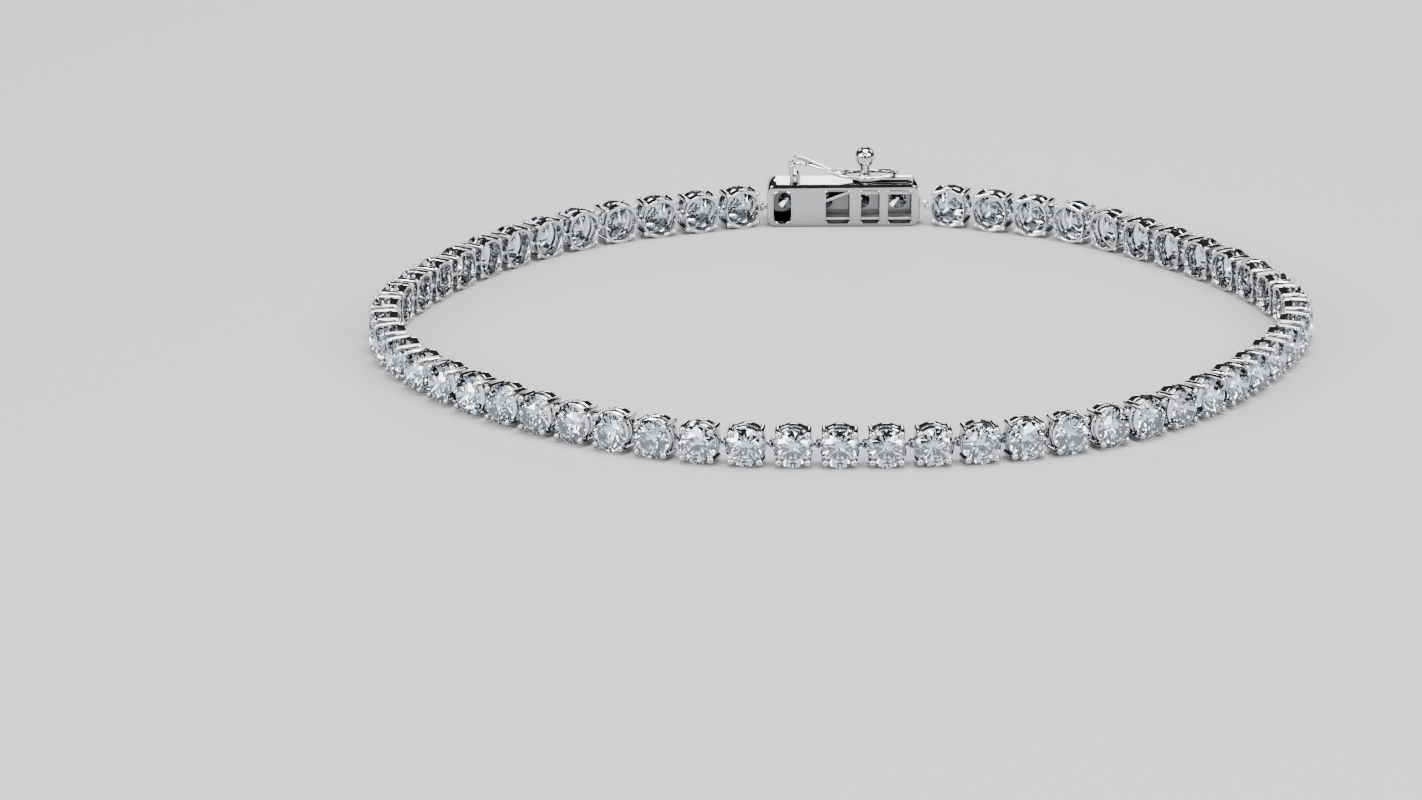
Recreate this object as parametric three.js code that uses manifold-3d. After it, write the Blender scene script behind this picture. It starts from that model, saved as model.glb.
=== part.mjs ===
// A line bracelet of round brilliants in four-claw baskets, standing on its edge in a closed loop.
// Millimetres, +Z up. The clasp is at the back (+Y), its inner wall towards -Y.
// Each link, and the clasp, is made in a frame of its own: +X along the row, +Y away from the wrist,
// +Z up, with Y = 0 on the hinge line and Z = 0 on the surface that the bracelet stands on.
import * as THREE from "three";
import { mergeVertices } from "three/addons/utils/BufferGeometryUtils.js";
import Module from "manifold-3d";

const wasm = await Module();
wasm.setup();

// The row.
const linkCount = 55;
const rightLinks = 28; // the links from the clasp's right end that make the right half of the row
const linkPitch = 3.0; // from hinge pin to hinge pin
const claspPitch = 11.2; // between the hinge pins at the two ends of the clasp
const rowHeight = 2.72; // of a basket, across the row

// The hinge line seen from above, clockwise from the clasp's middle; it is scaled to the row's length.
const route = [
  [0.2, 26.8], [5.8, 26.9], [9.8, 25.5], [15.4, 23.0], [21.9, 16.9], [27.2, 9.4], [29.7, 1.0], [27.6, -7.6],
  [23.4, -15.6], [17.2, -22.0], [9.0, -25.6], [0.0, -26.5], [-9.0, -25.8], [-16.8, -21.7], [-23.5, -15.5],
  [-28.3, -8.0], [-29.8, 0.7], [-27.0, 9.0], [-22.0, 16.8], [-15.4, 22.5], [-9.2, 25.1], [-5.4, 26.6],
];

// A stone: a table, then a crown and a pavilion of one ring of facets each.
const stoneDiameter = 2.6;
const stoneTable = 1.44; // across the table
const stoneCrown = 0.4;
const stonePavilion = 1.12;
const stoneFacets = 8;

// A basket.
const girdleOut = 1.22; // the stone's girdle, from the hinge line outwards
const frameDepth = 0.56; // the base frame, centred on the hinge line
const frameWidth = 2.4; // along the row
const earHeight = 2.24; // across the row, over the ears that carry the claws
const windowRadius = 1.08;
const windowSides = 8;
const clawSides = 3; // a claw has a flat towards its stone and a ridge outside
const clawFoot = 0.2; // from a claw's axis to its ridge, at the frame
const clawTip = 0.2;
const clawInset = 0.17; // from the ears' corner to a claw's axis
const clawGrip = 0.03; // how far a claw reaches over the girdle's edge
const clawRise = 0.3; // how far a claw stands past the girdle

// A hinge: an end wire with an upright pin, and the next piece's knuckle round that pin.
const wireSize = 0.2; // the end wire is square
const hookGap = 0.34; // between the two legs of an end wire
const knuckleLength = 0.48;
const knuckleDepth = 0.5;
const knuckleHeight = 0.24;
const pinClearance = 0.06; // round a pin, where two separate pieces are hinged
const overlap = 0.1; // how far soldered pieces reach into each other

// The clasp's box.
const boxLeft = -5.3;
const boxRight = 4.98;
const boxInner = -0.4; // its inner wall's face
const boxDepth = 2.3;
const boxHeight = 3.0;
const boxCorner = 0.7;
const innerWall = 0.28;
const topWall = 0.35;
const floorWall = 0.3;
const endWall = 0.3;
const cavityWidth = 1.1;
const mouthHeight = 1.65; // of the opening that the tongue goes in by
const slotStart = 0.5;
const slotWidth = 0.7;
const windowFloor = 0.28;
const windowTop = 2.55;
const windowCorner = 0.25;
const endWindowRadius = 0.64;
const endWindowShare = 0.1; // its middle, as a share of the box's length from its left end
const panelWindows = [
  // shares of the box's length from its left end
  { from: 0.382, to: 0.548 },
  { from: 0.614, to: 0.746 },
  { from: 0.792, to: 0.957 },
];

// The stones outside the box.
const faceStones = 4;
const faceStoneDiameter = 2.4;
const faceStonePitch = 2.5;
const faceGirdleOut = 0.2; // their girdles, from the box's outer face
const seatClearance = 0.12;
const faceClaw = 0.15; // a claw's radius
const faceClawGap = 0.06;

// The tongue: a lower leaf with an end plate, and an upper leaf that is pressed down.
const leafThickness = 0.2;
const leafWidth = 0.94;
const leafGap = 0.08; // under the lower leaf
const foldX = -2.9;
const foldHeight = 0.85;
const foldRadius = 0.26;
const foldClearance = 0.09;
const upperLeafHeight = 2.2; // of its level stretch
const upperLeafStart = 0.1; // where that stretch starts
const upperLeafEnd = 4.55;
const plateThickness = 0.2;
const plateTop = 1.9;
const plateGap = 0.06; // between the box's end and the plate
const tabStart = 0.75;
const tabEnd = 4.6;
const tabWidth = 0.56;
const tabThickness = 0.22;
const tabHeight = 0.12; // its underside over the box's top
const lipLength = 0.25;
const lipDrop = 0.22;
const ballX = 1.35;
const postLength = 0.8;
const neckRadius = 0.33;
const ballRadius = 0.69;
const ballHeight = 1.73; // its centre over the box's top

// The safety catch: one wire bent into a figure 8, on a bar that turns in a tube.
const catchX = -3.4;
const catchHeight = 0.35; // the bar over the box's top
const catchWire = 0.15; // radius
const catchSteps = 30;
const tubeRadius = 0.36;
const tubeLength = 1.0;
const tubeClearance = 0.07;
const catchReach = 6.87; // along the row, from the bar to the loop's far end
const catchHalfWidth = 0.97; // across the row, from the middle to the loop's widest place
const catchRiser = 1.1; // from the bar to the riser's top
const catchRoute = [
  // half of the wire's route, in shares of the three sizes above
  { along: 0, across: 0.742, up: 0 },
  { along: -0.029, across: 0.742, up: 0.24 },
  { along: -0.044, across: 0.742, up: 0.55 },
  { along: -0.035, across: 0.742, up: 0.83 },
  { along: 0.015, across: 0.722, up: 1 },
  { along: 0.095, across: 0.66, up: 0.97 },
  { along: 0.24, across: 0.433, up: 0.64 },
  { along: 0.394, across: 0.227, up: 0.22 },
  { along: 0.539, across: 0.68, up: 0.125 },
  { along: 0.691, across: 1, up: 0.1 },
  { along: 0.844, across: 0.876, up: 0.12 },
  { along: 0.961, across: 0.464, up: 0.195 },
  { along: 1, across: 0, up: 0.23 },
];

const corners = [[1, 1], [-1, 1], [-1, -1], [1, -1]]; // of a stone's four claws, in X and Z
const midHeight = rowHeight / 2;
const boxOuter = boxInner + boxDepth;
const cavityInner = boxInner + innerWall;
const cavityMiddle = cavityInner + cavityWidth / 2;
const boxTop = boxHeight;

const whiteGold = { color: 0xdcdde0, roughness: 0.16, metalness: 1, flatShading: true };
const brightWire = { color: 0xe6e7ea, roughness: 0.1, metalness: 1, flatShading: true };
const springGold = { color: 0xc9cacd, roughness: 0.24, metalness: 1, flatShading: true };
const clearStone = { color: 0xf1f6ff, roughness: 0.02, metalness: 0, flatShading: true };

// A closed geometry as a solid: its corners are merged, and its collapsed faces and flat fans dropped.
function solid(geometry) {
  const bare = geometry.index ? geometry.toNonIndexed() : geometry.clone();
  bare.deleteAttribute("normal");
  bare.deleteAttribute("uv");
  const merged = mergeVertices(bare, 1e-5);
  const indices = merged.index.array;
  const faces = [];
  for (let i = 0; i < indices.length; i += 3) {
    const [a, b, c] = indices.slice(i, i + 3);
    if (a !== b && b !== c && c !== a) faces.push(a, b, c);
  }
  const vertProperties = merged.attributes.position.array;
  const made = new wasm.Manifold(new wasm.Mesh({ numProp: 3, vertProperties, triVerts: new Uint32Array(faces) }));
  return made.asOriginal().simplify(1e-3);
}

const joined = (pieces) => pieces.reduce((whole, piece) => whole.add(piece));
const without = (whole, cuts) => cuts.reduce((left, cut) => left.subtract(cut), whole);

function mesh(name, body, look) {
  const { numProp, vertProperties, triVerts } = body.getMesh();
  const geometry = new THREE.BufferGeometry();
  geometry.setAttribute("position", new THREE.BufferAttribute(vertProperties, numProp));
  geometry.setIndex(new THREE.BufferAttribute(triVerts, 1));
  const made = new THREE.Mesh(geometry, new THREE.MeshStandardMaterial(look));
  made.name = name;
  return made;
}

function block(x, y, z) {
  const size = [x, y, z].map(([low, high]) => high - low);
  const middle = [x, y, z].map(([low, high]) => (low + high) / 2);
  return solid(new THREE.BoxGeometry(...size).translate(...middle));
}

// A shape drawn in X and Z, as thick as the stretch of Y that it is given; each arc has twice that many sides.
function slab(shape, [near, far], curveSegments = 2) {
  const flat = new THREE.ExtrudeGeometry(shape, { depth: far - near, bevelEnabled: false, curveSegments });
  return solid(flat.rotateX(Math.PI / 2).translate(0, far, 0));
}

const outline = (places) => new THREE.Shape(places.map(([x, z]) => new THREE.Vector2(x, z)));

function roundedOutline([left, right], [low, high], radius) {
  const shape = new THREE.Shape();
  shape.absarc(right - radius, low + radius, radius, -Math.PI / 2, 0);
  shape.absarc(right - radius, high - radius, radius, 0, Math.PI / 2);
  shape.absarc(left + radius, high - radius, radius, Math.PI / 2, Math.PI);
  shape.absarc(left + radius, low + radius, radius, Math.PI, Math.PI * 1.5);
  shape.closePath();
  return shape;
}

// A round bar between two points, tapered if its end radii differ; its first edge is turned by ridge from +Z.
function bar(from, to, fromRadius, toRadius, sides, ridge = 0) {
  const way = to.clone().sub(from);
  const turn = new THREE.Quaternion().setFromUnitVectors(new THREE.Vector3(0, 1, 0), way.clone().normalize());
  const rod = new THREE.CylinderGeometry(toRadius, fromRadius, way.length(), sides).rotateY(ridge);
  return solid(rod.applyQuaternion(turn).translate(...from.clone().lerp(to, 0.5)));
}

// A brilliant whose table faces +Y, its girdle at Y = 0.
function brilliant(diameter) {
  const share = diameter / stoneDiameter;
  const profile = [
    [0, -stonePavilion * share],
    [diameter / 2, 0],
    [(stoneTable / 2) * share, stoneCrown * share],
    [0, stoneCrown * share],
  ];
  return solid(new THREE.LatheGeometry(profile.map(([r, y]) => new THREE.Vector2(r, y)), stoneFacets));
}

// The end wire round the upright pin at pinX, its legs starting at legStart.
function hook(legStart, pinX) {
  const eye = hookGap / 2;
  const edge = eye + wireSize;
  const staple = outline([
    [legStart, edge], [legStart, eye], [pinX - wireSize / 2, eye], [pinX - wireSize / 2, -eye],
    [legStart, -eye], [legStart, -edge], [pinX + wireSize / 2, -edge], [pinX + wireSize / 2, edge],
  ]);
  return slab(staple, [-wireSize / 2, wireSize / 2]).translate(0, 0, midHeight);
}

// The block round the pin at pinX, which reaches to the piece that carries it; bored where the pin is loose.
function knuckle(pinX, reach, loose) {
  const z = [midHeight - knuckleHeight / 2, midHeight + knuckleHeight / 2];
  const body = block([pinX - knuckleLength / 2, reach], [-knuckleDepth / 2, knuckleDepth / 2], z);
  if (!loose) return body;
  const hole = wireSize / 2 + pinClearance;
  return body.subtract(block([pinX - hole, pinX + hole], [-hole, hole], [z[0] - 1, z[1] + 1]));
}

// The ring on the wrist's side: an ear at each claw, a crest between them, and a round window.
function baseFrame() {
  const side = frameWidth / 2;
  const ear = earHeight / 2;
  const shape = outline([[side, ear], [0, midHeight], [-side, ear], [-side, -ear], [0, -midHeight], [side, -ear]]);
  const step = (2 * Math.PI) / windowSides;
  const round = [...Array(windowSides).keys()].map((i) => (i + 0.5) * step);
  shape.holes.push(
    new THREE.Path(round.map((a) => new THREE.Vector2(Math.cos(a), Math.sin(a)).multiplyScalar(windowRadius))),
  );
  return slab(shape, [-frameDepth / 2, frameDepth / 2]);
}

// Four claws from the frame's ears, each with its flat reaching clawGrip over the girdle.
function basketClaws() {
  const foot = new THREE.Vector3(frameWidth / 2 - clawInset, 0, earHeight / 2 - clawInset);
  const flat = Math.cos(Math.PI / clawSides);
  const gripOut = (stoneDiameter / 2 - clawGrip + clawTip * flat) * Math.SQRT1_2;
  const grip = new THREE.Vector3(gripOut, girdleOut, gripOut);
  const tip = foot.clone().lerp(grip, (girdleOut + clawRise) / girdleOut);
  return corners.map(([x, z]) => {
    const side = new THREE.Vector3(x, 1, z);
    const ridge = Math.atan2(x, z);
    return bar(foot.clone().multiply(side), tip.clone().multiply(side), clawFoot, clawTip, clawSides, ridge);
  });
}

// A link from its knuckle to its pin, with its middle at X = 0.
function link(looseKnuckle) {
  const pin = linkPitch / 2;
  const basket = joined([baseFrame(), ...basketClaws(), brilliant(stoneDiameter).translate(0, girdleOut, 0)]);
  return joined([
    basket.translate(0, 0, midHeight),
    hook(frameWidth / 2 - overlap, pin),
    knuckle(-pin, -frameWidth / 2 + overlap, looseKnuckle),
  ]);
}

// The pins' places along the row, from the clasp's right end round to its left end.
function pinPlaces() {
  const drawn = new THREE.CatmullRomCurve3(route.map(([x, y]) => new THREE.Vector3(x, y, 0)), true);
  drawn.arcLengthDivisions = 2000;
  const length = claspPitch + linkCount * linkPitch;
  const scale = length / drawn.getLength();
  const count = [...Array(linkCount + 1).keys()];
  return count.map((i) => drawn.getPointAt((claspPitch / 2 + i * linkPitch) / length).multiplyScalar(scale));
}

// The frame of a piece whose pins are at the two places: +X from the first to the second.
function frameBetween(from, to) {
  const turn = Math.atan2(to.y - from.y, to.x - from.x);
  const middle = from.clone().lerp(to, 0.5);
  return new THREE.Matrix4().makeTranslation(middle).multiply(new THREE.Matrix4().makeRotationZ(turn));
}

function half(pins, first, last) {
  const held = link(false);
  const links = [];
  for (let i = first; i < last; i++) {
    const made = i === first ? link(true) : held;
    links.push(made.transform(frameBetween(pins[i], pins[i + 1]).elements));
  }
  return joined(links);
}

const alongBox = (share) => boxLeft + share * (boxRight - boxLeft);
const faceStoneX = (i) => (boxLeft + boxRight) / 2 + (i - (faceStones - 1) / 2) * faceStonePitch;

function faceSeats() {
  const share = faceStoneDiameter / stoneDiameter;
  const depth = boxOuter - cavityInner - cavityWidth;
  const pavilion = stonePavilion * share;
  const mouth = (faceStoneDiameter / 2) * (1 - faceGirdleOut / pavilion) + seatClearance;
  const throat = mouth / 2;
  const grow = (mouth - throat) / depth;
  const seat = new THREE.CylinderGeometry(mouth + grow * overlap, throat - grow * overlap, depth + 2 * overlap, 8);
  const middle = boxOuter - depth / 2;
  return [...Array(faceStones).keys()].map((i) =>
    solid(seat.clone().translate(faceStoneX(i), middle, boxHeight / 2)));
}

function faceClaws() {
  const out = (faceStoneDiameter / 2 + faceClawGap + faceClaw) * Math.SQRT1_2;
  const claws = [];
  for (let i = 0; i < faceStones; i++) {
    for (const [x, z] of corners) {
      const foot = new THREE.Vector3(faceStoneX(i) + x * out, boxOuter - overlap, boxHeight / 2 + z * out);
      const tip = foot.clone().setY(boxOuter + faceGirdleOut + clawRise);
      claws.push(bar(foot, tip, faceClaw, faceClaw, 4));
    }
  }
  return claws;
}

// The tube that the safety catch turns in, on its foot on the box's top, and the bore through it.
function catchTube() {
  const z = boxTop + catchHeight;
  const end = (side, extra) => new THREE.Vector3(catchX, cavityMiddle + side * (tubeLength / 2 + extra), z);
  const tube = bar(end(-1, 0), end(1, 0), tubeRadius, tubeRadius, 8);
  const bore = catchWire + tubeClearance;
  const y = [cavityMiddle - tubeLength / 2, cavityMiddle + tubeLength / 2];
  const foot = block([catchX - tubeRadius * 0.8, catchX + tubeRadius * 0.8], y, [boxTop - overlap, z - bore]);
  return tube.add(foot).subtract(bar(end(-1, overlap), end(1, overlap), bore, bore, 8));
}

function claspBox() {
  const wall = [boxInner - overlap, cavityInner + overlap];
  const cavity = [cavityInner, cavityInner + cavityWidth];
  const slot = [cavityMiddle - slotWidth / 2, cavityMiddle + slotWidth / 2];
  const beyond = boxRight + overlap;
  const shell = slab(roundedOutline([boxLeft, boxRight], [0, boxHeight], boxCorner), [boxInner, boxOuter]);
  const middle = alongBox(endWindowShare);
  const endWindow = [middle - endWindowRadius, middle + endWindowRadius];
  return without(joined([shell, ...faceClaws()]), [
    block([boxLeft + endWall, boxRight - endWall], cavity, [floorWall, boxTop - topWall]),
    block([boxRight - endWall - overlap, beyond], cavity, [floorWall, floorWall + mouthHeight]),
    block([slotStart, beyond], slot, [floorWall + mouthHeight - overlap, boxTop + overlap]),
    ...panelWindows.map(({ from, to }) =>
      slab(roundedOutline([alongBox(from), alongBox(to)], [windowFloor, windowTop], windowCorner), wall, 1)),
    slab(roundedOutline(endWindow, [windowFloor, windowTop], endWindowRadius * 0.99), wall, 1),
    ...faceSeats(),
  ]).add(catchTube()).add(knuckle(-claspPitch / 2, boxLeft + overlap, true));
}

function claspTongue() {
  const low = floorWall + leafGap;
  const y = [cavityMiddle - leafWidth / 2, cavityMiddle + leafWidth / 2];
  const plateX = boxRight + plateGap;
  const barrel = (end) => new THREE.Vector3(foldX, end, foldHeight);
  return joined([
    block([foldX, plateX + plateThickness], y, [low, low + leafThickness]),
    bar(barrel(y[0]), barrel(y[1]), foldRadius, foldRadius, 8),
    block([foldX - foldRadius / 2, foldX + foldRadius / 2], y, [low, foldHeight]),
    block([plateX, plateX + plateThickness], [-wireSize, y[1]], [low, plateTop]),
    hook(plateX + plateThickness / 2, claspPitch / 2),
  ]);
}

// The upper leaf, rolled over the fold's barrel, with the post, the thumb tab, the neck and the ball.
function thumbPiece() {
  const y = [cavityMiddle - leafWidth / 2, cavityMiddle + leafWidth / 2];
  const inner = foldRadius + foldClearance;
  const outer = inner + leafThickness;
  const roll = new THREE.Shape();
  roll.absarc(foldX, foldHeight, outer, -0.1, Math.PI + 0.1);
  roll.absarc(foldX, foldHeight, inner, Math.PI + 0.1, -0.1, true);
  const top = upperLeafHeight + leafThickness;
  const leaf = outline([
    [foldX, foldHeight + inner + leafThickness / 3], [foldX + outer * 0.6, foldHeight + inner * 0.9],
    [upperLeafStart, upperLeafHeight], [upperLeafEnd, upperLeafHeight],
    [upperLeafEnd, top], [upperLeafStart, top], [foldX, foldHeight + outer],
  ]);
  const tabY = [cavityMiddle - tabWidth / 2, cavityMiddle + tabWidth / 2];
  const under = boxTop + tabHeight;
  const tab = outline([
    [tabStart, under], [tabEnd - lipLength, under], [tabEnd - lipLength, under - lipDrop],
    [tabEnd, under - lipDrop], [tabEnd, under + tabThickness], [tabStart, under + tabThickness],
  ]);
  const postX = [ballX - postLength / 2, ballX + postLength / 2];
  const middle = new THREE.Vector3(ballX, cavityMiddle, boxTop + ballHeight);
  const ball = new THREE.SphereGeometry(ballRadius, 12, 8).rotateX(Math.PI / 2);
  return joined([
    slab(roll, y),
    slab(leaf, y),
    block(postX, tabY, [top - leafThickness / 2, under + tabThickness / 2]),
    slab(tab, tabY),
    bar(middle.clone().setZ(under + tabThickness / 2), middle, neckRadius, neckRadius, 8),
    solid(ball.translate(...middle)),
  ]);
}

function safetyCatch() {
  const axle = new THREE.Vector3(catchX, cavityMiddle, boxTop + catchHeight);
  const place = ({ along, across, up }, side, extra = 0) =>
    new THREE.Vector3(along * catchReach, side * (across * catchHalfWidth + extra), up * catchRiser).add(axle);
  const there = catchRoute.map((row) => place(row, -1));
  const back = catchRoute.slice(0, -1).reverse().map((row) => place(row, 1));
  const path = new THREE.CatmullRomCurve3([...there, ...back]);
  const section = new THREE.Shape();
  section.absarc(0, 0, catchWire, 0, 2 * Math.PI);
  const wire = new THREE.ExtrudeGeometry(section, { extrudePath: path, steps: catchSteps, curveSegments: 3 });
  const end = (side) => place(catchRoute[0], side, catchWire / 2);
  return solid(wire).add(bar(end(-1), end(1), catchWire, catchWire, 6));
}

const pins = pinPlaces();

const chain = new THREE.Group();
chain.add(mesh("chain_right", half(pins, 0, rightLinks), whiteGold));
chain.add(mesh("chain_left", half(pins, rightLinks, linkCount), whiteGold));

const clasp = new THREE.Group();
clasp.add(mesh("clasp_box", claspBox(), whiteGold));
for (let i = 0; i < faceStones; i++) {
  const stone = mesh("clasp_stone_" + (i + 1), brilliant(faceStoneDiameter), clearStone);
  stone.position.set(faceStoneX(i), boxOuter + faceGirdleOut, boxHeight / 2);
  clasp.add(stone);
}
clasp.add(mesh("clasp_tongue", claspTongue(), springGold));
clasp.add(mesh("thumb_piece", thumbPiece(), springGold));
clasp.add(mesh("safety_catch", safetyCatch(), brightWire));
clasp.applyMatrix4(frameBetween(pins[linkCount], pins[0]));

// The whole, moved so that its origin is under the middle of its outline.
const group = new THREE.Group();
group.add(chain, clasp);
group.updateMatrixWorld(true);
const extent = new THREE.Box3().setFromObject(group, true);
const centre = extent.getCenter(new THREE.Vector3());
group.position.set(-centre.x, -centre.y, -extent.min.z);

export default group;
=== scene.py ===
# A line bracelet of round brilliants in four-claw baskets, standing on its edge on a pale floor.
# Shapes are worked out in millimetres and made in metres. +Z up, the clasp at the back (+Y).
# Each link, and the clasp, has a frame of its own: +X along the row, +Y away from the wrist, +Z up,
# with Y = 0 on the hinge line. A basket's Z is counted from mid-height, the clasp's from the floor.
import math

import bmesh
import bpy
import numpy as np
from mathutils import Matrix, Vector


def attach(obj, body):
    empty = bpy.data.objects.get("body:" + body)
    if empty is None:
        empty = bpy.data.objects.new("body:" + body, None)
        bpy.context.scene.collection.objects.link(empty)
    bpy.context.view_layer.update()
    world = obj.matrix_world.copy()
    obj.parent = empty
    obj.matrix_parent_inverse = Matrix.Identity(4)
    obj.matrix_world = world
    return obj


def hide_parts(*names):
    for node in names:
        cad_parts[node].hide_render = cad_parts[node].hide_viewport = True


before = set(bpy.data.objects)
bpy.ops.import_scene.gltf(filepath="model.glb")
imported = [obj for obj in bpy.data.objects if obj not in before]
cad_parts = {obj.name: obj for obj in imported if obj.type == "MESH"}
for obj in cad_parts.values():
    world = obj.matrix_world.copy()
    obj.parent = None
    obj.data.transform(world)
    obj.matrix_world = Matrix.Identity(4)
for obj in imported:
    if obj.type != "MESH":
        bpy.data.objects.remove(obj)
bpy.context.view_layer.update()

MM = 0.001

# The row, as in the solids.
LINKS, RIGHT_LINKS = 55, 28
PITCH, CLASP_PITCH, ROW_HEIGHT = 3.0, 11.2, 2.72
MID = ROW_HEIGHT / 2
ROUTE = [
    (0.2, 26.8), (5.8, 26.9), (9.8, 25.5), (15.4, 23.0), (21.9, 16.9), (27.2, 9.4), (29.7, 1.0), (27.6, -7.6),
    (23.4, -15.6), (17.2, -22.0), (9.0, -25.6), (0.0, -26.5), (-9.0, -25.8), (-16.8, -21.7), (-23.5, -15.5),
    (-28.3, -8.0), (-29.8, 0.7), (-27.0, 9.0), (-22.0, 16.8), (-15.4, 22.5), (-9.2, 25.1), (-5.4, 26.6),
]
ROUTE_STEPS = 300  # points along the curve between two of the route's
OUTLINE_SHIFT = np.array([0.0725, -0.6041])  # from the route's origin to the outline's middle

# A stone and its basket.
STONE, TABLE_SHARE, CROWN, GIRDLE, PAVILION = 2.6, 0.55, 0.39, 0.05, 1.1
STAR_SHARE, LOWER_SHARE = 0.42, 0.78  # how far down the stars and the lower halves reach
GIRDLE_OUT = 1.22
RING_QUARTER = [
    (1.22, 0), (1.18, 0.45), (1.08, 0.8), (1.05, 1.0), (0.92, 1.11), (0.72, 1.16), (0.38, 1.3), (0, MID),
]
WINDOW, RING_DEPTH, RING_SIDE, RING_EDGE = 1.13, 0.56, 1.22, 0.04
CLAW_PATH = [(1.02, -0.18), (1.03, 0.5), (1.0, 1.1), (0.94, 1.38)]  # its shares of X and Z, and its Y
CLAW_RADIUS, CLAW_BEAD, BEAD_SQUASH = 0.19, 0.25, (1, 0.8, 1)
GALLERY, GALLERY_OUT, GALLERY_WIRE = 1.23, 0.68, 0.085
CORNERS = [(1, 1), (-1, 1), (-1, -1), (1, -1)]

# The hinge between two links: a barrel on a bar, and a wire bent round the barrel's pin.
WIRE, HOOK_HALF = 0.1, 0.27
HOOK_BEND = [(0.2, 1), (0.06, 0.8), (0, 0.4)]  # distance from the pin, and share of the hook's half height
BARREL_BORE, BARREL_RADIUS, BARREL_HALF = 0.15, 0.24, 0.12
BAR_START, BAR_HALF_DEPTH, BAR_HALF_HEIGHT = 0.16, 0.24, 0.11
SUNK = 0.1  # how deep a wire or a bar starts inside what carries it

# The clasp's box.
BOX_LEFT, BOX_RIGHT, BOX_INNER, BOX_OUTER, BOX_TOP, BOX_CORNER = -5.3, 4.98, -0.4, 1.9, 3.0, 0.7
BOX_EDGE, SHARP_EDGE, PAST = 0.12, 0.004, 0.2  # PAST is how far a cut starts outside the metal
WALL, ROOF = 0.3, 0.35
CAVITY, CAVITY_MID = (-0.12, 0.98), 0.43
MOUTH_TOP = 1.95
SLOT_LEFT, SLOT_HALF, SLOT_LOW = 0.5, 0.35, 1.9
PANEL_WINDOWS = [(0.382, 0.548), (0.614, 0.746), (0.792, 0.957)]  # shares of the box's length
WINDOW_LOW, WINDOW_HIGH, WINDOW_CORNER = 0.28, 2.55, 0.22
END_WINDOW_AT, END_RADIUS, END_CORNER = 0.1, 0.64, 0.6
LIP_OUT, LIP_WIRE = 0.01, 0.05
FACE_STONES, FACE_STONE, FACE_PITCH, FACE_OUT = 4, 2.4, 2.5, 0.2
FACE_SEAT = [(0.5, 0.8), (1.13, 2.0)]  # radius and Y
FACE_CLAW = [(0.98, -0.1), (0.94, 0.15), (0.84, 0.4)]  # its shares of X and Z, and its Y from the outer face
FACE_CLAW_RADIUS, FACE_BEAD = 0.17, 0.22
COLLAR, COLLAR_WIRE = 1.14, 0.07

# The folded spring: the lower leaf with its end plate, and the upper leaf with the thumb tab and the ball.
LEAF_HALF, FOLD_X, FOLD_Z = 0.47, -2.9, 0.85
FOLD_RADIUS, FOLD_HALF, FOLD_INSET = 0.26, 0.13, 0.02
LOWER_LEAF = (0.38, 0.58)
PLATE_GAP, PLATE_DEPTH, PLATE_INNER, PLATE_TOP, PLATE_EDGE = 0.06, 0.2, -0.2, 1.9, 0.05
UPPER_BEND, UPPER_START, UPPER_HALF = 0.45, math.pi + 0.1, 0.1
UPPER_TOP = 2.3
UPPER_ROUTE = [(-2.2, 1.42), (0.1, UPPER_TOP), (4.55, UPPER_TOP)]
TAB_UP, TAB_HALF, TAB_THICK, TAB_CORNER, TAB_EDGE = 0.12, 0.28, 0.22, 0.08, 0.05
TAB_LEFT, TAB_LIP, TAB_RIGHT = 0.75, 4.35, 4.6
RISER_HALF = 0.4
BALL_X, BALL_UP, BALL_RADIUS = 1.35, 1.73, 0.69
NECK = [(0.44, 0.18), (0.42, 0.26), (0.34, 0.4), (0.33, 0.8), (0.38, 1.05)]  # radius, and height over the tab

# The safety catch and its tube on the box.
CATCH_X, CATCH_UP, CATCH_WIRE = -3.4, 0.35, 0.15
CATCH_REACH, CATCH_HALF_WIDTH, CATCH_RISER = 6.87, 0.97, 1.1
CATCH_ROUTE = [  # along, across and up, in shares of the three sizes above
    (0, 0.742, 0), (-0.029, 0.742, 0.24), (-0.044, 0.742, 0.55), (-0.035, 0.742, 0.83), (0.015, 0.722, 1),
    (0.095, 0.66, 0.97), (0.24, 0.433, 0.64), (0.394, 0.227, 0.22), (0.539, 0.68, 0.125), (0.691, 1, 0.1),
    (0.844, 0.876, 0.12), (0.961, 0.464, 0.195), (1, 0, 0.23),
]
SLEEVE_BORE, SLEEVE_RADIUS, SLEEVE_HALF = 0.22, 0.36, 0.5
SLEEVE_FOOT_HALF, SLEEVE_SEAT = 0.29, 0.2
BARREL_EDGE, SLEEVE_EDGE = (0.03, 0.03), (0.03, 0.04)  # how wide and how long the ends are bevelled
AXLE_PAST = 0.05


# Shapes. A shape is (corners, faces), its corners an array in millimetres.
def together(shapes):
    corners, faces, start = [], [], 0
    for points, polygons in shapes:
        corners.append(points)
        faces += [tuple(start + i for i in p) for p in polygons]
        start += len(points)
    return np.vstack(corners), faces


def moved(shape, matrix):
    points, faces = shape
    return points @ matrix[:3, :3].T + matrix[:3, 3], faces


def shifted(shape, x, y, z):
    return shape[0] + np.array([x, y, z]), shape[1]


def laid_down(shape, x, y, z):
    """A shape with its +Z turned to +Y, then shifted."""
    points, faces = shape
    return np.column_stack([points[:, 0] + x, points[:, 2] + y, z - points[:, 1]]), faces


def span(middle, half):
    return middle - half, middle + half


def loft(rings, loop=False):
    """Rings of equal length joined in turn; the ends are closed with a face each unless they meet."""
    count, size = len(rings), len(rings[0])
    faces = []
    for i in range(count if loop else count - 1):
        a, b = i * size, (i + 1) % count * size
        faces += [(a + k, a + (k + 1) % size, b + (k + 1) % size, b + k) for k in range(size)]
    if not loop:
        faces += [tuple(range(size))[::-1], tuple(range((count - 1) * size, count * size))]
    return np.vstack(rings), faces


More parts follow.
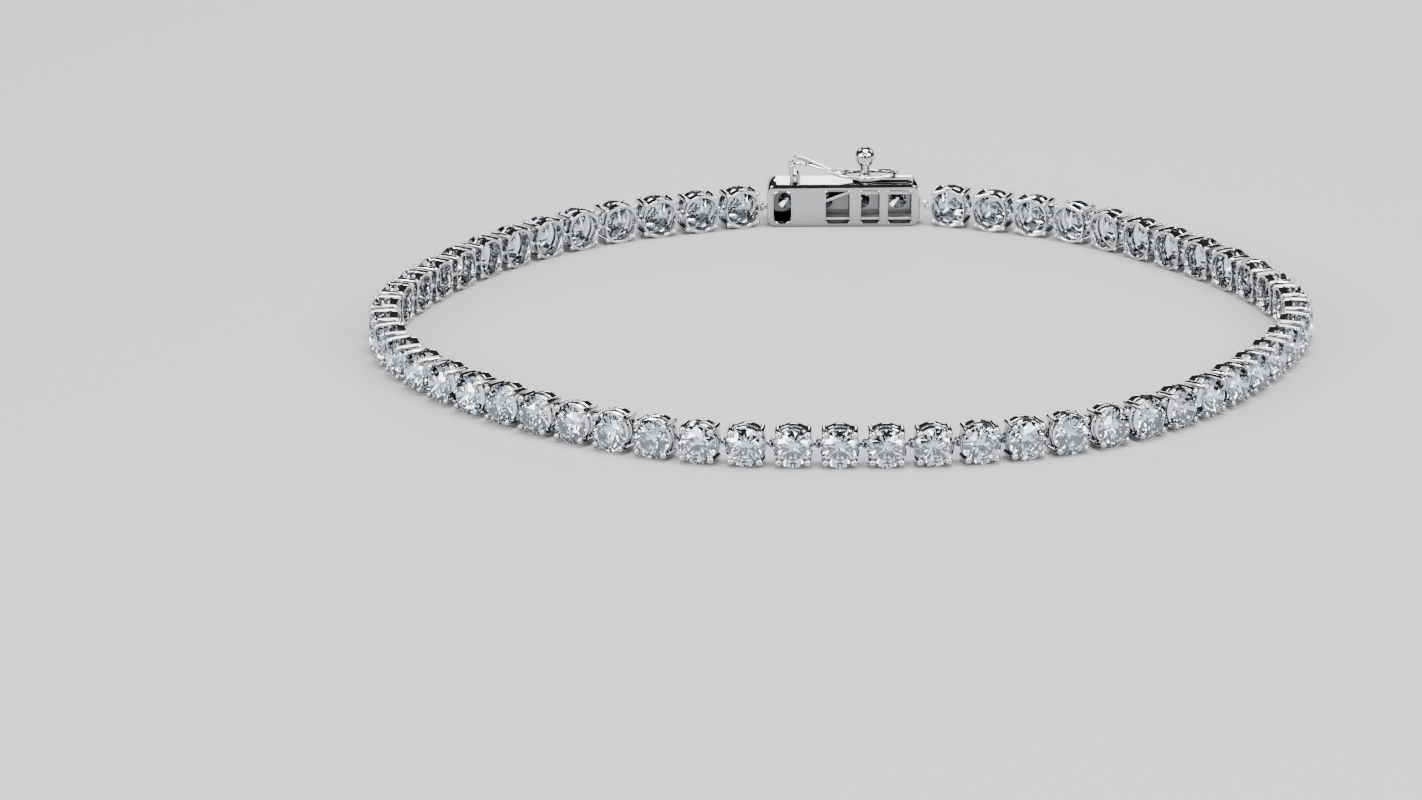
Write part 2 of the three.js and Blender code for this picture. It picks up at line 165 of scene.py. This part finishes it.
def tube(path, radius, sides, rounded_ends=True, loop=False):
    """A round wire along a path."""
    path = np.array(path, float)
    radii = np.full(len(path), float(radius))
    if loop:
        ways = np.roll(path, -1, 0) - np.roll(path, 1, 0)
    else:
        ways = np.gradient(path, axis=0)
        if rounded_ends:
            angles = np.radians([75, 50, 25])
            ways /= np.linalg.norm(ways, axis=1)[:, None]
            first = [path[0] - ways[0] * radius * math.sin(a) for a in angles]
            last = [path[-1] + ways[-1] * radius * math.sin(a) for a in angles[::-1]]
            radii = np.concatenate([radius * np.cos(angles), radii, radius * np.cos(angles[::-1])])
            ways = np.vstack([[ways[0]] * 3, ways, [ways[-1]] * 3])
            path = np.vstack([first, path, last])
    ways /= np.linalg.norm(ways, axis=1)[:, None]
    side = np.cross(ways[0], [0, 0, 1] if abs(ways[0][2]) < 0.9 else [1, 0, 0])
    turns = np.linspace(0, 2 * math.pi, sides, endpoint=False)
    rings = []
    for place, way, r in zip(path, ways, radii):
        side = side - way * side.dot(way)
        side /= np.linalg.norm(side)
        other = np.cross(way, side)
        rings.append(place + r * (np.outer(np.cos(turns), side) + np.outer(np.sin(turns), other)))
    return loft(rings, loop)


def curve_between(a, b, start, end, t):
    """Points at the shares t of the curve from a to b that leaves with one slope and arrives with another."""
    bend = (3 * b - 3 * a - 2 * start - end) * t**2
    return a + start * t + bend + (2 * a - 2 * b + start + end) * t**3


def smooth_path(points, steps, loop=False):
    """More points along a smooth curve through the given ones."""
    p = np.array(points, float)
    before = np.roll(p, 1, 0) if loop else np.vstack([2 * p[0] - p[1], p[:-1]])
    after = np.roll(p, -1, 0) if loop else np.vstack([p[1:], 2 * p[-1] - p[-2]])
    slopes = (after - before) / 2
    t = np.linspace(0, 1, steps, endpoint=False)[:, None]
    out = []
    for i in range(len(p) if loop else len(p) - 1):
        following = (i + 1) % len(p)
        out.append(curve_between(p[i], p[following], slopes[i], slopes[following], t))
    if not loop:
        out.append(p[-1:])
    return np.vstack(out)


def lathe(profile, sides):
    """A profile of (radius, height) turned about +Z, closed at both ends."""
    turns = np.linspace(0, 2 * math.pi, sides, endpoint=False)
    across, shaded_stop = np.cos(turns), np.sin(turns)
    return loft([np.column_stack([r * across, r * shaded_stop, np.full(sides, h)]) for r, h in profile])


def sleeve(bore, radius, half, edge, sides):
    """A short tube about +Z with its outer edges bevelled."""
    upper = [(radius, half - edge[1]), (radius - edge[0], half), (bore, half)]
    return lathe([(r, -h) for r, h in upper[::-1]] + upper, sides)


def ball(centre, radius, squash=(1, 1, 1), rings=8, sides=12):
    angles = np.linspace(-90, 90, rings + 1)
    profile = [(max(math.cos(math.radians(a)), 0.02), math.sin(math.radians(a))) for a in angles]
    points, faces = lathe(profile, sides)
    return points * radius * np.array(squash) + np.array(centre), faces


def hoop(x, y, z, radius, wire):
    """A ring of wire that faces +Y."""
    count = 40
    turns = np.linspace(0, 2 * math.pi, count, endpoint=False)
    path = np.column_stack([x + radius * np.cos(turns), np.full(count, y), z + radius * np.sin(turns)])
    return tube(path, wire, 8, loop=True)


def claw(path, radius, bead, sides):
    """A claw along a path, with the bead that holds the stone at its tip."""
    return [tube(path, radius, sides), ball(path[-1], bead, BEAD_SQUASH, sides=sides + 2)]


def rounded(points, radius, steps=5):
    """A flat outline with its corners rounded."""
    p = np.array(points, float)
    out = []
    for i, corner in enumerate(p):
        back, on = p[i - 1] - corner, p[(i + 1) % len(p)] - corner
        back, on = back / np.linalg.norm(back), on / np.linalg.norm(on)
        half = math.acos(np.clip(back.dot(on), -1, 1)) / 2
        run = radius / math.tan(half)
        a, b = corner + back * run, corner + on * run
        for t in np.linspace(0, 1, steps):
            out.append(a * (1 - t) ** 2 + 2 * corner * t * (1 - t) + b * t**2)
    return out


def circle(radius, sides=48):
    turns = np.linspace(0, 2 * math.pi, sides, endpoint=False)
    return [(radius * math.cos(a), radius * math.sin(a)) for a in turns]


def mirrored(quarter):
    """A closed outline from the stretch between its right and its top, mirrored to the left and down."""
    half = quarter + [(-x, z) for x, z in quarter[-2::-1]]
    return half + [(x, -z) for x, z in half[-2:0:-1]]


def rectangle(left, right, low, high):
    return [(left, low), (right, low), (right, high), (left, high)]


def plate(outline, holes, near, far, bevel):
    """A flat piece drawn in X and Z between two values of Y, with rounded edges."""
    curve = bpy.data.curves.new("plate", "CURVE")
    curve.dimensions, curve.fill_mode = "2D", "BOTH"
    curve.extrude = (far - near) / 2 - bevel
    curve.bevel_depth, curve.bevel_resolution, curve.offset = bevel, 1, -bevel
    for ring in [outline, *[hole[::-1] for hole in holes]]:
        spline = curve.splines.new("POLY")
        spline.points.add(len(ring) - 1)
        spline.points.foreach_set("co", [v for x, z in ring for v in (x, z, 0, 1)])
        spline.use_cyclic_u = True
    holder = bpy.data.objects.new("plate", curve)
    bpy.context.scene.collection.objects.link(holder)
    made = bpy.data.meshes.new_from_object(holder.evaluated_get(bpy.context.evaluated_depsgraph_get()))
    points = np.empty(len(made.vertices) * 3)
    made.vertices.foreach_get("co", points)
    points = points.reshape(-1, 3)
    faces = [tuple(f.vertices) for f in made.polygons]
    bpy.data.objects.remove(holder)
    bpy.data.curves.remove(curve)
    bpy.data.meshes.remove(made)
    return np.column_stack([points[:, 0], (near + far) / 2 - points[:, 2], points[:, 1]]), faces


def block(x, y, z, bevel=0.03):
    """A box between two values each way, with rounded edges."""
    made = bmesh.new()
    bmesh.ops.create_cube(made, size=1)
    size = [high - low for low, high in (x, y, z)]
    middle = [(low + high) / 2 for low, high in (x, y, z)]
    for v in made.verts:
        v.co = Vector([c * s + m for c, s, m in zip(v.co, size, middle)])
    bmesh.ops.bevel(made, geom=made.edges[:], offset=bevel, segments=2, affect="EDGES", profile=0.5)
    made.verts.index_update()
    points = np.array([v.co[:] for v in made.verts])
    faces = [tuple(v.index for v in f.verts) for f in made.faces]
    made.free()
    return points, faces


def cut(shape, cutters):
    """A shape with others taken out of it."""
    def holder(part):
        mesh = bpy.data.meshes.new("cut")
        mesh.from_pydata(part[0].tolist(), [], part[1])
        joined = bmesh.new()
        joined.from_mesh(mesh)
        bmesh.ops.remove_doubles(joined, verts=joined.verts[:], dist=1e-5)
        bmesh.ops.recalc_face_normals(joined, faces=joined.faces[:])
        joined.to_mesh(mesh)
        joined.free()
        made = bpy.data.objects.new("cut", mesh)
        bpy.context.scene.collection.objects.link(made)
        return made

    whole, tools = holder(shape), [holder(c) for c in cutters]
    for tool in tools:
        step = whole.modifiers.new("cut", "BOOLEAN")
        step.operation, step.object, step.solver = "DIFFERENCE", tool, "EXACT"
    made = bpy.data.meshes.new_from_object(whole.evaluated_get(bpy.context.evaluated_depsgraph_get()))
    points = np.array([v.co[:] for v in made.vertices])
    faces = [tuple(f.vertices) for f in made.polygons]
    for used in [whole, *tools]:
        bpy.data.meshes.remove(used.data)
    return points, faces


def brilliant(diameter):
    """A round brilliant of 57 facets and a faceted girdle, its table facing +Y and its girdle at Y = 0."""
    r, share = diameter / 2, diameter / STONE
    crown, pavilion, edge = CROWN * share, PAVILION * share, GIRDLE * share / 2
    table = r * TABLE_SHARE
    eighth, half_eighth = math.pi / 4, math.pi / 8

    def ring(radius, height, offset):
        turns = [k * eighth + offset for k in range(8)]
        return [(radius * math.cos(turn), height, radius * math.sin(turn)) for turn in turns]

    star_r = (table + (r - table) * STAR_SHARE) / math.cos(half_eighth)
    lower_r = r * (1 - LOWER_SHARE) / math.cos(half_eighth)
    points = [(0, -edge - pavilion, 0)]
    points += ring(table, edge + crown, 0)  # 1
    points += ring(star_r, edge + crown * (1 - STAR_SHARE), half_eighth)  # 9
    points += ring(r, edge, 0) + ring(r, edge, half_eighth)  # 17, 25
    points += ring(r, -edge, 0) + ring(r, -edge, half_eighth)  # 33, 41
    points += ring(lower_r, -edge - pavilion * LOWER_SHARE, half_eighth)  # 49
    faces = [tuple(range(1, 9))[::-1]]
    for k in range(8):
        n, back = (k + 1) % 8, (k - 1) % 8
        faces.append((1 + k, 1 + n, 9 + k))  # star
        faces.append((1 + k, 9 + k, 17 + k, 9 + back))  # crown main
        faces += [(9 + k, 25 + k, 17 + k), (9 + k, 17 + n, 25 + k)]  # upper halves
        faces += [(17 + k, 25 + k, 41 + k, 33 + k), (25 + k, 17 + n, 33 + n, 41 + k)]  # girdle
        faces += [(33 + k, 41 + k, 49 + k), (41 + k, 33 + n, 49 + k)]  # lower halves
        faces.append((33 + k, 49 + k, 0, 49 + back))  # pavilion main
    return np.array(points), faces


# Pieces.
def piece(name, shape, body, material, stands_for=(), sharp=30):
    """An object of the bracelet that moves with a body, smooth up to the angle named sharp."""
    points, faces = shape
    mesh = bpy.data.meshes.new(name)
    mesh.from_pydata((points * MM).tolist(), [], faces)
    mesh.validate()
    outward = bmesh.new()
    outward.from_mesh(mesh)
    bmesh.ops.recalc_face_normals(outward, faces=outward.faces[:])
    outward.to_mesh(mesh)
    outward.free()
    mesh.polygons.foreach_set("use_smooth", [sharp > 0] * len(mesh.polygons))
    mesh.materials.append(material)
    made = bpy.data.objects.new(name, mesh)
    bpy.context.scene.collection.objects.link(made)
    if sharp > 0:
        mesh.set_sharp_from_angle(angle=math.radians(sharp))
        made.modifiers.new("even shading", "WEIGHTED_NORMAL").keep_sharp = True
    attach(made, body)
    if stands_for:
        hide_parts(*stands_for)


# Materials, all of nodes.
def nodes_of(name):
    material = bpy.data.materials.new(name)
    material.use_nodes = True
    tree = material.node_tree
    return material, tree.nodes, tree.links, tree.nodes["Principled BSDF"]


def gold(name, color, roughness, painted_shade_reach=0.0012, painted_shade_level=0.25):
    """Polished metal, painted with shade: dull grey in its recesses, with fine wear in its gloss and its
    surface.
    """
    material, nodes, links, surface = nodes_of(name)
    surface.inputs["Metallic"].default_value = 1
    # Painted shade: the base colour darkens where the occlusion node finds metal close by, down to its
    # darkest share in the deepest recesses.
    occlusion_mask = nodes.new("ShaderNodeAmbientOcclusion")
    occlusion_mask.inputs["Distance"].default_value = painted_shade_reach
    shade = nodes.new("ShaderNodeValToRGB")
    shaded_stop, open_to_light = shade.color_ramp.elements
    shaded_stop.position, shaded_stop.color = 0.15, (*[c * painted_shade_level for c in color], 1)
    open_to_light.position, open_to_light.color = 0.75, (*color, 1)
    links.new(occlusion_mask.outputs["AO"], shade.inputs["Fac"])
    links.new(shade.outputs["Color"], surface.inputs["Base Color"])
    place = nodes.new("ShaderNodeTexCoord")
    wear = nodes.new("ShaderNodeTexNoise")
    wear.inputs["Scale"].default_value = 900
    wear.inputs["Detail"].default_value = 6
    links.new(place.outputs["Object"], wear.inputs["Vector"])
    gloss = nodes.new("ShaderNodeMapRange")
    gloss.inputs["To Min"].default_value = roughness
    gloss.inputs["To Max"].default_value = roughness + 0.06
    links.new(wear.outputs["Fac"], gloss.inputs["Value"])
    links.new(gloss.outputs["Result"], surface.inputs["Roughness"])
    relief = nodes.new("ShaderNodeBump")
    relief.inputs["Strength"].default_value = 0.02
    relief.inputs["Distance"].default_value = 0.00002
    links.new(wear.outputs["Fac"], relief.inputs["Height"])
    links.new(relief.outputs["Normal"], surface.inputs["Normal"])
    return material


def diamond():
    """Clear stone that bends light as strongly as a diamond does, a little blue."""
    material, nodes, links, surface = nodes_of("diamond")
    nodes.remove(surface)
    glass = nodes.new("ShaderNodeBsdfGlass")
    glass.inputs["Color"].default_value = (0.94, 0.965, 1, 1)
    glass.inputs["Roughness"].default_value = 0
    glass.inputs["IOR"].default_value = 2.42
    links.new(glass.outputs[0], nodes["Material Output"].inputs["Surface"])
    return material


white_gold = gold("white_gold", (0.58, 0.585, 0.6), 0.05)
# The box's metal takes a strong painted shade that reaches 3 mm, darkening it deeply inside its cavity and
# windows.
box_gold = gold("box_gold", (0.5, 0.505, 0.52), 0.06, painted_shade_reach=0.003, painted_shade_level=0.1)
# The tongue's metal is a lighter grey than the rest of the white gold, painted light that brightens it
# through the windows, and it takes less painted shade.
tongue_gold = gold("tongue_gold", (0.74, 0.74, 0.75), 0.32, painted_shade_level=0.7)
spring_gold = gold("spring_gold", (0.62, 0.62, 0.63), 0.1)
wire_gold = gold("wire_gold", (0.6, 0.605, 0.62), 0.04)
stone = diamond()


# The row.
def row_pins():
    """The hinge pins from the clasp's right end round to its left end, on the same curve as the solids."""
    points = np.array(ROUTE)
    count, dense = len(points), []
    t = np.linspace(0, 1, ROUTE_STEPS, endpoint=False)[:, None]
    for i in range(count):
        a, b, c, d = (points[(i + k) % count] for k in (-1, 0, 1, 2))
        ab, bc, cd = (math.sqrt(np.linalg.norm(v)) for v in (b - a, c - b, d - c))
        start = ((b - a) / ab - (c - a) / (ab + bc) + (c - b) / bc) * bc
        end = ((c - b) / bc - (d - b) / (bc + cd) + (d - c) / cd) * bc
        dense.append(curve_between(b, c, start, end, t))
    dense = np.vstack([*dense, points[:1]])
    along = np.concatenate([[0], np.cumsum(np.linalg.norm(np.diff(dense, axis=0), axis=1))])
    length = CLASP_PITCH + LINKS * PITCH
    at = (CLASP_PITCH / 2 + PITCH * np.arange(LINKS + 1)) / length * along[-1]
    places = np.column_stack([np.interp(at, along, dense[:, k]) for k in (0, 1)])
    return places * length / along[-1] + OUTLINE_SHIFT


def frame_between(a, b, height=0.0):
    """The frame halfway between two pins, its X from the first to the second, at a height over the floor."""
    turn = math.atan2(b[1] - a[1], b[0] - a[0])
    matrix = np.eye(4)
    matrix[:2, :2] = [[math.cos(turn), -math.sin(turn)], [math.sin(turn), math.cos(turn)]]
    matrix[:3, 3] = [*(a + b) / 2, height]
    return matrix


def knuckle(pin_x, reach, z):
    """The barrel round the pin at pin_x, and the bar that carries it."""
    barrel = sleeve(BARREL_BORE, BARREL_RADIUS, BARREL_HALF, BARREL_EDGE, 16)
    bar = block((pin_x + BAR_START, reach), span(0, BAR_HALF_DEPTH), span(z, BAR_HALF_HEIGHT))
    return [shifted(barrel, pin_x, 0, z), bar]


def end_wire(start, pin_x, z):
    """The wire bent round the pin at pin_x, its two legs starting at start."""
    leg = [(start, HOOK_HALF)] + [(pin_x - back, HOOK_HALF * share) for back, share in HOOK_BEND]
    both = leg + [(x, -up) for x, up in leg[::-1]]
    return tube(smooth_path([(x, 0, z + up) for x, up in both], 4), WIRE, 10)


def basket():
    """The metal of one link, its middle at the origin."""
    ring = [tuple(p) for p in smooth_path(mirrored(RING_QUARTER), 3, loop=True)]
    shapes = [plate(ring, [circle(WINDOW)], -RING_DEPTH / 2, RING_DEPTH / 2, RING_EDGE)]
    for x, z in CORNERS:
        path = smooth_path([(x * share, y, z * share) for share, y in CLAW_PATH], 3)
        shapes += claw(path, CLAW_RADIUS, CLAW_BEAD, 12)
    shapes.append(hoop(0, GALLERY_OUT, 0, GALLERY, GALLERY_WIRE))
    shapes.append(end_wire(RING_SIDE - SUNK, PITCH / 2, 0))
    shapes += knuckle(-PITCH / 2, -RING_SIDE + SUNK, 0)
    return together(shapes)


pins = row_pins()
to_row = [frame_between(pins[i], pins[i + 1], MID) for i in range(LINKS)]
metal, gem = basket(), shifted(brilliant(STONE), 0, GIRDLE_OUT, 0)
for side, links in (("right", to_row[:RIGHT_LINKS]), ("left", to_row[RIGHT_LINKS:])):
    node = "chain_" + side
    piece("baskets_" + side, together([moved(metal, m) for m in links]), "bracelet", white_gold, [node],
          sharp=40)
    piece("stones_" + side, together([moved(gem, m) for m in links]), "bracelet", stone, [node], sharp=0)

# The clasp.
to_clasp = frame_between(pins[LINKS], pins[0])
box_middle = (BOX_LEFT + BOX_RIGHT) / 2
face_x = [box_middle + (i - (FACE_STONES - 1) / 2) * FACE_PITCH for i in range(FACE_STONES)]
leaf_y = span(CAVITY_MID, LEAF_HALF)
hinge_z = BOX_TOP + CATCH_UP


def in_clasp(shapes):
    return moved(together(shapes), to_clasp)


def along_box(share):
    return BOX_LEFT + share * (BOX_RIGHT - BOX_LEFT)


def window_rings():
    """The outlines of the three windows to the right and of the round-ended one at the left."""
    rings = [rounded(rectangle(along_box(a), along_box(b), WINDOW_LOW, WINDOW_HIGH), WINDOW_CORNER)
             for a, b in PANEL_WINDOWS]
    end = rectangle(*span(along_box(END_WINDOW_AT), END_RADIUS), WINDOW_LOW, WINDOW_HIGH)
    return rings + [rounded(end, END_CORNER, 9)]


def box_shell():
    """The housing with its cavity, mouth, slot, windows and the seats of its four stones."""
    outline = rounded(rectangle(BOX_LEFT, BOX_RIGHT, 0, BOX_TOP), BOX_CORNER, 9)
    shell = plate(outline, [], BOX_INNER, BOX_OUTER, BOX_EDGE)
    mouth_x = (BOX_RIGHT - WALL - SUNK, BOX_RIGHT + PAST)
    openings = [
        ((BOX_LEFT + WALL, BOX_RIGHT - WALL), CAVITY, (WALL, BOX_TOP - ROOF)),
        (mouth_x, CAVITY, (WALL, MOUTH_TOP)),
        ((SLOT_LEFT, BOX_RIGHT + PAST), span(CAVITY_MID, SLOT_HALF), (SLOT_LOW, BOX_TOP + PAST)),
    ]
    cutters = [block(*opening, SHARP_EDGE) for opening in openings]
    cutters += [plate(ring, [], BOX_INNER - PAST, CAVITY[0] + SUNK, SHARP_EDGE) for ring in window_rings()]
    cutters += [laid_down(lathe(FACE_SEAT, 32), x, 0, BOX_TOP / 2) for x in face_x]
    return cut(shell, cutters)


def clasp_box():
    """The housing with its window lips, claws, collars, end barrel and the catch's tube."""
    shapes = [box_shell()]
    for ring in window_rings():
        shapes.append(tube([(x, BOX_INNER + LIP_OUT, z) for x, z in ring], LIP_WIRE, 8, loop=True))
    for x in face_x:
        middle = np.array([x, BOX_OUTER, BOX_TOP / 2])
        for cx, cz in CORNERS:
            path = [middle + [cx * share, y, cz * share] for share, y in FACE_CLAW]
            shapes += claw(path, FACE_CLAW_RADIUS, FACE_BEAD, 10)
        shapes.append(hoop(*middle, COLLAR, COLLAR_WIRE))
    shapes += knuckle(-CLASP_PITCH / 2, BOX_LEFT + SUNK, MID)
    hinge_tube = sleeve(SLEEVE_BORE, SLEEVE_RADIUS, SLEEVE_HALF, SLEEVE_EDGE, 24)
    shapes.append(laid_down(hinge_tube, CATCH_X, CAVITY_MID, hinge_z))
    shapes.append(block(span(CATCH_X, SLEEVE_FOOT_HALF), span(CAVITY_MID, SLEEVE_HALF),
                        (BOX_TOP - SUNK, hinge_z - SLEEVE_SEAT)))
    return shapes


def tongue():
    """The lower leaf from its fold to the plate that closes the box's mouth, with its end wire."""
    inner, outer = leaf_y
    plate_x = BOX_RIGHT + PLATE_GAP
    plate_end = plate_x + PLATE_DEPTH
    fold = [(FOLD_X, inner + FOLD_INSET, FOLD_Z), (FOLD_X, outer - FOLD_INSET, FOLD_Z)]
    return [
        block((FOLD_X, plate_end), leaf_y, LOWER_LEAF),
        tube(fold, FOLD_RADIUS, 20, rounded_ends=False),
        block(span(FOLD_X, FOLD_HALF), leaf_y, (LOWER_LEAF[0], FOLD_Z)),
        block((plate_x, plate_end), (PLATE_INNER, outer), (LOWER_LEAF[0], PLATE_TOP), PLATE_EDGE),
        end_wire(plate_x + PLATE_DEPTH / 2, CLASP_PITCH / 2, MID),
    ]


def upper_leaf():
    """The leaf that bends up from the fold and runs under the box's slot."""
    bend = [(FOLD_X + UPPER_BEND * math.cos(a), FOLD_Z + UPPER_BEND * math.sin(a))
            for a in np.linspace(UPPER_START, math.pi / 2, 10)]
    line = np.array(bend + UPPER_ROUTE)
    ways = np.gradient(line, axis=0)
    ways /= np.linalg.norm(ways, axis=1)[:, None]
    normal = np.column_stack([-ways[:, 1], ways[:, 0]]) * UPPER_HALF
    outline = np.vstack([line + normal, (line - normal)[::-1]])
    return plate([tuple(p) for p in outline[::-1]], [], *leaf_y, 0.02)


def thumb():
    """The upper leaf, its riser through the slot, and the tab with the neck and the ball."""
    under = BOX_TOP + TAB_UP
    over = under + TAB_THICK
    low = under - TAB_THICK
    tab_y = span(CAVITY_MID, TAB_HALF)
    tab = [(TAB_LEFT, under), (TAB_LIP, under), (TAB_LIP, low), (TAB_RIGHT, low), (TAB_RIGHT, over),
           (TAB_LEFT, over)]
    return [
        upper_leaf(),
        block(span(BALL_X, RISER_HALF), tab_y, (UPPER_TOP, under + SUNK)),
        plate(rounded(tab, TAB_CORNER), [], *tab_y, TAB_EDGE),
        shifted(lathe(NECK, 24), BALL_X, CAVITY_MID, under),
        ball((BALL_X, CAVITY_MID, BOX_TOP + BALL_UP), BALL_RADIUS, rings=24, sides=40),
    ]


def catch():
    """The figure-8 wire from one end of its axle round to the other, and the axle."""
    axle = np.array([CATCH_X, CAVITY_MID, hinge_z])
    sizes = np.array([CATCH_REACH, CATCH_HALF_WIDTH, CATCH_RISER])
    there = [np.array([a, -b, c]) * sizes + axle for a, b, c in CATCH_ROUTE]
    back = [np.array([a, b, c]) * sizes + axle for a, b, c in CATCH_ROUTE[-2::-1]]
    half_axle = [0, CATCH_ROUTE[0][1] * CATCH_HALF_WIDTH + AXLE_PAST, 0]
    return [
        tube(smooth_path([*there, *back], 8), CATCH_WIRE, 14),
        tube([axle - half_axle, axle + half_axle], CATCH_WIRE, 14),
    ]


piece("clasp_shell", in_clasp(clasp_box()), "bracelet", box_gold, ["clasp_box"], sharp=35)
for i, x in enumerate(face_x):
    gem = moved(shifted(brilliant(FACE_STONE), x, BOX_OUTER + FACE_OUT, BOX_TOP / 2), to_clasp)
    piece(f"clasp_gem_{i + 1}", gem, "bracelet", stone, [f"clasp_stone_{i + 1}"], sharp=0)
piece("tongue", in_clasp(tongue()), "bracelet", tongue_gold, ["clasp_tongue"])
piece("thumb_lever", in_clasp(thumb()), "thumb", spring_gold, ["thumb_piece"])
piece("catch_wire", in_clasp(catch()), "catch", wire_gold, ["safety_catch"])

# The floor, the light and the camera, in metres.
FLOOR_HALF = 3
floor_mesh = bpy.data.meshes.new("floor")
floor_corners = [(x * FLOOR_HALF, y * FLOOR_HALF, 0) for x, y in ((-1, -1), (1, -1), (1, 1), (-1, 1))]
floor_mesh.from_pydata(floor_corners, [], [(0, 1, 2, 3)])
floor = bpy.data.objects.new("floor", floor_mesh)
bpy.context.scene.collection.objects.link(floor)
floor_material, _, _, floor_surface = nodes_of("floor")
floor_surface.inputs["Base Color"].default_value = (0.42, 0.42, 0.425, 1)
floor_surface.inputs["Roughness"].default_value = 0.6
floor_mesh.materials.append(floor_material)

world = bpy.data.worlds.new("studio")
world.use_nodes = True
world.node_tree.nodes["Background"].inputs["Color"].default_value = (0.5, 0.52, 0.55, 1)
world.node_tree.nodes["Background"].inputs["Strength"].default_value = 0.06
bpy.context.scene.world = world


def softbox(name, place, size, power):
    """A square area light at a place, aimed at the bracelet."""
    light = bpy.data.lights.new(name, "AREA")
    light.shape, light.size, light.energy = "SQUARE", size, power
    lamp = bpy.data.objects.new(name, light)
    lamp.location = place
    lamp.rotation_mode = "QUATERNION"
    lamp.rotation_quaternion = Vector(place).to_track_quat("Z", "Y")
    bpy.context.scene.collection.objects.link(lamp)


softbox("top", (0.05, 0.0, 0.5), 0.35, 5)
softbox("left", (-0.5, -0.35, 0.3), 0.2, 4)
softbox("right", (0.45, -0.3, 0.35), 0.12, 3)
PANEL_DISTANCE = 0.5
PANELS = [  # turn from the front in degrees, height, size and power
    (-75, 0.16, 0.2, 0.7), (-45, 0.5, 0.16, 0.8), (-22, 0.22, 0.14, 0.6), (4, 0.44, 0.12, 0.8),
    (26, 0.2, 0.1, 0.5), (42, 0.5, 0.14, 0.7), (66, 0.24, 0.2, 0.7), (128, 0.3, 0.2, 0.6),
    (-140, 0.36, 0.16, 0.6), (180, 0.16, 0.12, 0.3),
]
for turn, height, size, power in PANELS:
    way = math.radians(turn)
    place = (PANEL_DISTANCE * math.sin(way), -PANEL_DISTANCE * math.cos(way), height)
    softbox("panel", place, size, power)

DISTANCE, ELEVATION = 1.0794, math.radians(17.24)
SENSOR, LENS = 36, 411.9
TARGET = Vector((-8.67, -1.14, -3.69)) * MM
shift = Vector((*OUTLINE_SHIFT, 0)) * MM
camera_data = bpy.data.cameras.new("camera")
camera_data.sensor_width, camera_data.lens = SENSOR, LENS
camera = bpy.data.objects.new("camera", camera_data)
camera.location = Vector((0, -DISTANCE * math.cos(ELEVATION), DISTANCE * math.sin(ELEVATION))) + shift
camera.rotation_mode = "QUATERNION"
camera.rotation_quaternion = (TARGET + shift - camera.location).to_track_quat("-Z", "Y")
bpy.context.scene.collection.objects.link(camera)
bpy.context.scene.camera = camera
